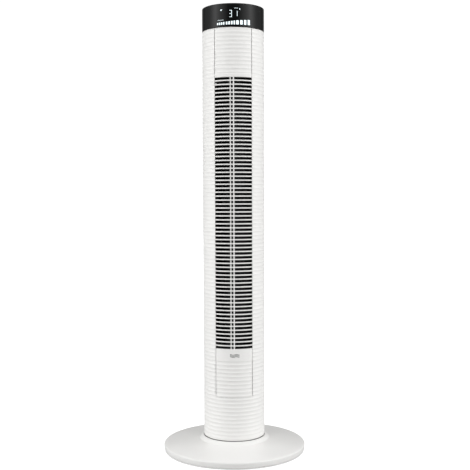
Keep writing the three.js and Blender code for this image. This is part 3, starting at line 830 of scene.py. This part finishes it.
BAR_LOW = 1037.7 * MM
GROUPS = [(-29.8, -15.6, 0.6, 5, 6), (-12.8, 3.8, 0.6, 6.6, 8.8), (5.8, 31.9, 0.62, 9.4, 11.8)]
for start, end, fill, first_height, last_height in GROUPS:
    pitch = (end - start) / (3 + fill)
    for k in range(4):
        left = start + k * pitch
        right = left + pitch * fill
        top = BAR_LOW + (first_height + (last_height - first_height) * k / 3) * MM
        shown.append(tile([(left, BAR_LOW), (right, BAR_LOW), (right, top), (left, top)], 2))


def dashes(start, count, width, gap, low, height, slant=0.0):
    """A row of small dashes; slant leans their tops, in degrees."""
    return [
        tile([(a, low), (a + width, low), (a + width + slant, low + height), (a + slant, low + height)], 1)
        for a in (start + k * (width + gap) for k in range(count))
    ]


SIGN_LOW = 1048 * MM
shown += dashes(-28.6, 5, 1.4, 1.0, SIGN_LOW, 1.0 * MM, 0.5)
shown += dashes(2.6, 3, 1.6, 0.6, 1075.3 * MM, 1.0 * MM)
LEFT_SIGN = [(-22.8, 1070.6), (-21.4, 1070.6), (-19.4, 1073.8), (-23.4, 1073.0)]
RIGHT_SIGN = [(11.3, 1072.6), (13.3, 1072.6), (12.5, 1075.6), (11.7, 1075.6)]
for corners in (LEFT_SIGN, RIGHT_SIGN):
    shown.append(tile([(angle, z * MM) for angle, z in corners], 2))
display = build("display_segments", *join(shown), LIT_WHITE)
fit(display, "tower", "display_light", "led_module")


# ---------------------------------------------------------------- Base halves
FOOT_COUNT = 8
FOOT_CIRCLE_R = 155 * MM
GLAND_Z = 9.5 * MM
FOOT_ANGLES = [360 / FOOT_COUNT * (k + 0.5) for k in range(FOOT_COUNT)]


def base_half(middle, steps=96):
    """Half of the base: domed top, collar and thin wall, with a small notch in the collar's seam."""
    rim = [(BASE_R - 2.1 * MM, 2.4 * MM), (BASE_R - 1.2 * MM, 6 * MM), (BASE_R - 0.2 * MM, 12.5 * MM)]
    shoulder = arc_profile(BASE_R - 4.0 * MM, 14.6 * MM, 4.0 * MM, 0, 76, 7)
    slope = [(160 * MM, 20.9 * MM), (140 * MM, 23.3 * MM), (115 * MM, 26.4 * MM), (92 * MM, 29.3 * MM)]
    collar = [
        (88 * MM, 29.9 * MM), (86.6 * MM, 30.2 * MM), (85.6 * MM, 30.9 * MM), (84.6 * MM, 32.2 * MM),
        (83.2 * MM, 33.8 * MM), (81.6 * MM, 35.5 * MM), (80 * MM, 36.8 * MM), (78.9 * MM, 37.6 * MM),
        (77.9 * MM, 37.95 * MM), (76.4 * MM, BASE_TOP), (75.5 * MM, BASE_TOP - 0.3 * MM),
        (75.5 * MM, 30.5 * MM), (24 * MM, 30.5 * MM), (24 * MM, 27.5 * MM),
    ]
    inside = [
        (85 * MM, 27.4 * MM), (140 * MM, 20.6 * MM), (171 * MM, 16.8 * MM), (173 * MM, 14 * MM),
        (172.6 * MM, 2 * MM), (BASE_R - 2.5 * MM, 2 * MM),
    ]
    profile = rim + shoulder + slope + collar + inside
    loops = []
    for i in range(steps + 1):
        share = 2 * i / steps - 1
        loop = []
        for r, z in profile:
            gap = 0.9 * MM if 79 * MM < r < 87 * MM and z > 29 * MM else 0.15 * MM
            reach = 90 - math.degrees(math.asin(min(1, gap / r)))
            loop.append(around(r, middle + share * reach, z))
        loops.append(loop)
    return loft(loops)


def foot_boss(x, y):
    """The solid boss above a foot pad."""
    low, high = 3.3 * MM, 20 * MM
    profile = [(0, low), (8.6 * MM, low), (9 * MM, low + 0.4 * MM), (9 * MM, high), (0, high)]
    return turned(profile, 32, x, y)


def under_rib(angle):
    """An upright rib that runs outwards under the deck."""
    outline = [(28, 14), (165, 5), (173.5, 5), (173.5, 14.5), (170, 17.3), (85, 27.9), (28, 27.9)]
    turn = Matrix.Rotation(math.radians(angle), 3, "Z")
    loops = []
    for x in (-1.2 * MM, 1.2 * MM):
        loops.append([tuple(turn @ Vector((x, -r * MM, z * MM))) for r, z in outline])
    return loft(loops)


for name, middle in (("base_front_half", 0), ("base_rear_half", 180)):
    parts = [base_half(middle)]
    for angle in FOOT_ANGLES:
        if abs((angle - middle + 180) % 360 - 180) < 90:
            x, y, _ = around(FOOT_CIRCLE_R, angle)
            parts += [foot_boss(x, y), under_rib(angle)]
    piece = build(name + "_fine", *join(parts), BASE_WHITE, 40)
    if name == "base_rear_half":
        bore = turned([(0, -182 * MM), (5.5 * MM, -182 * MM), (5.5 * MM, -160 * MM), (0, -160 * MM)], 40)
        lay = Matrix.Translation((0, 0, GLAND_Z)) @ Matrix.Rotation(math.radians(90), 4, "X")
        carve(piece, [moved(bore, lay)])
    fit(piece, "base", "base_white", name)

pad = [(0, 0), (6.8 * MM, 0), (7.6 * MM, 0.4 * MM), (8 * MM, 1.1 * MM), (8 * MM, 3 * MM), (0, 3 * MM)]
for k, angle in enumerate(FOOT_ANGLES):
    x, y, _ = around(FOOT_CIRCLE_R, angle)
    piece = build(f"foot_pad_{k + 1}_fine", *turned(pad, 48, x, y), RUBBER)
    fit(piece, "base", "foot_rubber", f"foot_pad_{k + 1}")

gland_profile = [
    (3.5 * MM, 168.5 * MM), (6.2 * MM, 168.5 * MM), (6.2 * MM, 171.4 * MM), (5.2 * MM, 171.6 * MM),
    (5.2 * MM, 174.4 * MM), (4.8 * MM, 175 * MM), (3.9 * MM, 175 * MM), (3.5 * MM, 174.6 * MM),
]
lay_back = Matrix.Translation((0, 0, GLAND_Z)) @ Matrix.Rotation(math.radians(-90), 4, "X")
gland = build("cord_gland_fine", *moved(turned(gland_profile, 48), lay_back), RUBBER)
fit(gland, "base", "black_rubber", "cord_gland")


# ---------------------------------------------------------------- Shell screws
def screw_head(matrix):
    """A pan-head screw with a cross recess, along +Z from its tip."""
    dome = []
    for t in (0, 20, 40, 60, 75):
        turn = math.radians(t)
        dome.append((3.6 * math.cos(turn) * MM, (76.4 + 1.6 * math.sin(turn)) * MM))
    profile = [(0, 68.6 * MM), (1.8 * MM, 68.6 * MM), (1.8 * MM, 76.4 * MM), *dome, (0, 78 * MM)]
    piece = build("shell_screw", *moved(turned(profile, 32), matrix), STEEL)
    cross = []
    for wide, deep in ((2.0, 0.45), (0.45, 2.0)):
        ring = [(-wide, -deep), (wide, -deep), (wide, deep), (-wide, deep)]
        loops = [[(x * MM, y * MM, z * MM) for x, y in ring] for z in (76.9, 79)]
        cross.append(moved(loft(loops), matrix))
    return carve(piece, cross)


SCREW_PLACES = [(150, 46.5), (210, 46.5), (150, 1026), (210, 1026)]
for k, (angle, z) in enumerate(SCREW_PLACES):
    outward = Vector(around(1, angle))
    matrix = Matrix.Translation((0, 0, z * MM)) @ outward.to_track_quat("Z", "Y").to_matrix().to_4x4()
    piece = screw_head(matrix)
    piece.name = f"shell_screw_{k + 1}_fine"
    fit(piece, "tower", "steel", f"shell_screw_{k + 1}")


# ---------------------------------------------------------------- Blower wheel
WHEEL_LOW, WHEEL_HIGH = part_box("impeller")[0][2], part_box("impeller")[1][2]
WHEEL_Y = (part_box("impeller")[0][1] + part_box("impeller")[1][1]) / 2
WHEEL_R = 45.8 * MM
BLADES = 32
RINGS = 7
END_HALF, RING_HALF = 1.25 * MM, 0.7 * MM
RING_INNER = 31 * MM


def curved_blade(index):
    """A forward-curved strip between the wheel's inner and outer circles."""
    turn = 360 * index / BLADES
    line = []
    for i in range(6):
        t = i / 5
        radius = (33 + 12.3 * t) * MM
        line.append((radius, turn + 16 * t * t - 4 * t))
    loops = []
    for radius, angle in line:
        thick = math.degrees(0.5 * MM / radius)
        left, right = angle - thick, angle + thick
        low, high = WHEEL_LOW + MM, WHEEL_HIGH - MM
        corners = [(left, low), (right, low), (right, high), (left, high)]
        loop = [around(radius, a, z) for a, z in corners]
        loops.append([(x, y + WHEEL_Y, z) for x, y, z in loop])
    return loft(loops)


wheel_parts = [curved_blade(k) for k in range(BLADES)]
for k in range(RINGS):
    z = WHEEL_LOW + (WHEEL_HIGH - WHEEL_LOW) * k / (RINGS - 1)
    z = min(max(z, WHEEL_LOW + END_HALF), WHEEL_HIGH - END_HALF)
    half, inner = (END_HALF, 0) if k in (0, RINGS - 1) else (RING_HALF, RING_INNER)
    disc = [(inner, z - half), (WHEEL_R, z - half), (WHEEL_R, z + half), (inner, z + half)]
    wheel_parts.append(turned(disc, 64, 0, WHEEL_Y))
wheel = build("impeller_fine", *join(wheel_parts), WHEEL_DARK)
fit(wheel, "wheel", "wheel_plastic", "impeller")


# ---------------------------------------------------------------- Finishes of the nodes that stay as they are
KEPT = {
    DARK: [
        "pedestal", "turntable", "air_scroll", "duct_tongue", "motor_bracket", "upper_bearing_bracket",
        "head_frame",
    ],
    NYLON: ["thrust_ring", "swing_sector", "swing_pinion"],
    RUBBER: ["drive_hub", "motor_isolator"],
    STEEL: [
        "axle_pin", "motor_shaft", "retaining_ring", "swing_bracket",
        *[f"base_screw_{k}" for k in range(1, 5)],
    ],
    MOTOR_STEEL: ["swing_motor", "motor_can"],
    BRONZE: ["upper_bearing_bush"],
    BOARD: ["key_board", "display_board", "power_board"],
    SLEEVE: ["wiring_loom"],
}
for material, names in KEPT.items():
    for name in names:
        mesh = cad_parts[name].data
        mesh.materials.clear()
        mesh.materials.append(material)


# ---------------------------------------------------------------- Floor, studio and camera
FLOOR_HALF = 14


def floor_paint():
    """Plain white to the eye, and a duller white to the light that it sends back up."""
    material, tree, shader = new_material(
        "floor_white", (0.9, 0.9, 0.9), 0.9, Emission_Strength=0.6, Specular_IOR_Level=0.0
    )
    shader.inputs["Emission Color"].default_value = (1, 1, 1, 1)
    bounce = add_node(tree, "ShaderNodeBsdfDiffuse", Color=(0.55, 0.55, 0.55, 1))
    ray = add_node(tree, "ShaderNodeLightPath")
    mix = add_node(tree, "ShaderNodeMixShader")
    tree.links.new(ray.outputs["Is Camera Ray"], mix.inputs["Fac"])
    tree.links.new(bounce.outputs["BSDF"], mix.inputs[1])
    tree.links.new(shader.outputs["BSDF"], mix.inputs[2])
    tree.links.new(mix.outputs["Shader"], tree.nodes["Material Output"].inputs["Surface"])
    return material


corners = [
    (-FLOOR_HALF, -FLOOR_HALF, 0), (FLOOR_HALF, -FLOOR_HALF, 0),
    (FLOOR_HALF, FLOOR_HALF, 0), (-FLOOR_HALF, FLOOR_HALF, 0),
]
floor_mesh = bpy.data.meshes.new("floor")
floor_mesh.from_pydata(corners, [], [(0, 1, 2, 3)])
floor_mesh.materials.append(floor_paint())
floor = bpy.data.objects.new("floor", floor_mesh)
bpy.context.scene.collection.objects.link(floor)


# Brightness of the studio, by share of the half turn from the camera's side to the backdrop.
EYE_LEVELS = [
    (0.0, 0.07), (0.1, 0.1), (0.185, 0.5), (0.24, 0.75), (0.29, 1.0), (0.34, 1.35), (0.37, 1.6), (0.42, 1.3),
    (0.47, 0.8), (0.53, 0.45), (0.6, 0.3), (0.68, 0.2), (0.76, 0.06), (0.9, 0.2), (1.0, 0.3),
]
RAISED_LEVELS = [(0.0, 0.95), (0.2, 0.98), (0.4, 1.05), (0.6, 0.8), (0.8, 0.3), (1.0, 0.2)]
OVERHEAD_LEVEL = 0.65


def studio_world():
    """A white studio: soft side panels, bright ceiling, white backdrop and a dark gap in front."""
    world = bpy.data.worlds.new("studio")
    world.use_nodes = True
    tree = world.node_tree
    tree.nodes.clear()
    place = add_node(tree, "ShaderNodeTexCoord")
    split = add_node(tree, "ShaderNodeSeparateXYZ")
    tree.links.new(place.outputs["Generated"], split.inputs["Vector"])

    def maths(kind, a, b=None, value=0.0):
        node = add_node(tree, "ShaderNodeMath", {"operation": kind})
        tree.links.new(a, node.inputs[0])
        if b is not None:
            tree.links.new(b, node.inputs[1])
        else:
            node.inputs[1].default_value = value
        return node.outputs["Value"]

    sideways = maths("ABSOLUTE", split.outputs["X"])
    forward = maths("MULTIPLY", split.outputs["Y"], value=-1.0)
    share = maths("DIVIDE", maths("ARCTAN2", sideways, forward), value=math.pi)

    def ring(levels):
        """The brightness round the horizon as a colour ramp; halved, because its colours end at 1."""
        ramp = add_node(tree, "ShaderNodeValToRGB")
        stops = ramp.color_ramp.elements
        while len(stops) < len(levels):
            stops.new(0.5)
        for stop, (at, value) in zip(stops, levels):
            stop.position = at
            stop.color = (value / 2, value / 2, value / 2, 1)
        tree.links.new(share, ramp.inputs["Fac"])
        return maths("MULTIPLY", ramp.outputs["Color"], value=2.0)

    def above(start, end, lower, upper):
        """Goes from lower to upper as the direction rises."""
        smooth = {"interpolation_type": "SMOOTHSTEP"}
        rise = add_node(tree, "ShaderNodeMapRange", smooth, From_Min=start, From_Max=end)
        tree.links.new(split.outputs["Z"], rise.inputs["Value"])
        mix = add_node(tree, "ShaderNodeMix", {"data_type": "FLOAT"})
        tree.links.new(rise.outputs["Result"], mix.inputs["Factor"])
        tree.links.new(lower, mix.inputs["A"])
        if isinstance(upper, float):
            mix.inputs["B"].default_value = upper
        else:
            tree.links.new(upper, mix.inputs["B"])
        return mix.outputs["Result"]

    walls = above(0.28, 0.45, ring(EYE_LEVELS), ring(RAISED_LEVELS))
    level = above(0.7, 0.95, walls, OVERHEAD_LEVEL)
    background = add_node(tree, "ShaderNodeBackground", Color=(1, 1, 1, 1))
    tree.links.new(level, background.inputs["Strength"])
    plain = add_node(tree, "ShaderNodeBackground", Color=(1, 1, 1, 1), Strength=1.05)
    ray = add_node(tree, "ShaderNodeLightPath")
    mix = add_node(tree, "ShaderNodeMixShader")
    tree.links.new(ray.outputs["Is Camera Ray"], mix.inputs["Fac"])
    tree.links.new(background.outputs["Background"], mix.inputs[1])
    tree.links.new(plain.outputs["Background"], mix.inputs[2])
    output = add_node(tree, "ShaderNodeOutputWorld")
    tree.links.new(mix.outputs["Shader"], output.inputs["Surface"])
    bpy.context.scene.world = world


studio_world()


def softbox(name, place, target, width, height, power):
    """A rectangular lamp that faces the target."""
    lamp = bpy.data.lights.new(name, "AREA")
    lamp.shape = "RECTANGLE"
    lamp.size = width
    lamp.size_y = height
    lamp.energy = power
    holder = bpy.data.objects.new(name, lamp)
    holder.location = place
    holder.rotation_euler = (Vector(target) - Vector(place)).to_track_quat("-Z", "Y").to_euler()
    holder.visible_glossy = False
    bpy.context.scene.collection.objects.link(holder)


softbox("left_light", (-2.7, -0.5, 0.9), (0, 0, 0.6), 0.8, 2.2, 29.5)
softbox("right_light", (2.7, -0.5, 0.9), (0, 0, 0.6), 0.8, 2.2, 30.5)
softbox("front_left_light", (-1.1, -2.0, 1.8), (0, 0, 0.3), 0.9, 0.6, 6)
softbox("front_right_light", (1.1, -2.0, 1.8), (0, 0, 0.3), 0.9, 0.6, 6)

bpy.context.scene.view_settings.view_transform = "Standard"
bpy.context.scene.view_settings.look = "None"

CAMERA_PLACE = (3.1 * MM, -2092 * MM, 624.7 * MM)
CAMERA_DOWN = 2.45
CAMERA_ROLL = -0.194
CAMERA_LENS = 64.6
camera_data = bpy.data.cameras.new("camera")
camera_data.sensor_width = 36
camera_data.lens = CAMERA_LENS
camera = bpy.data.objects.new("camera", camera_data)
pitch = Matrix.Rotation(math.radians(90 - CAMERA_DOWN), 4, "X")
roll = Matrix.Rotation(math.radians(CAMERA_ROLL), 4, "Z")
camera.matrix_world = Matrix.Translation(CAMERA_PLACE) @ pitch @ roll
bpy.context.scene.collection.objects.link(camera)
bpy.context.scene.camera = camera
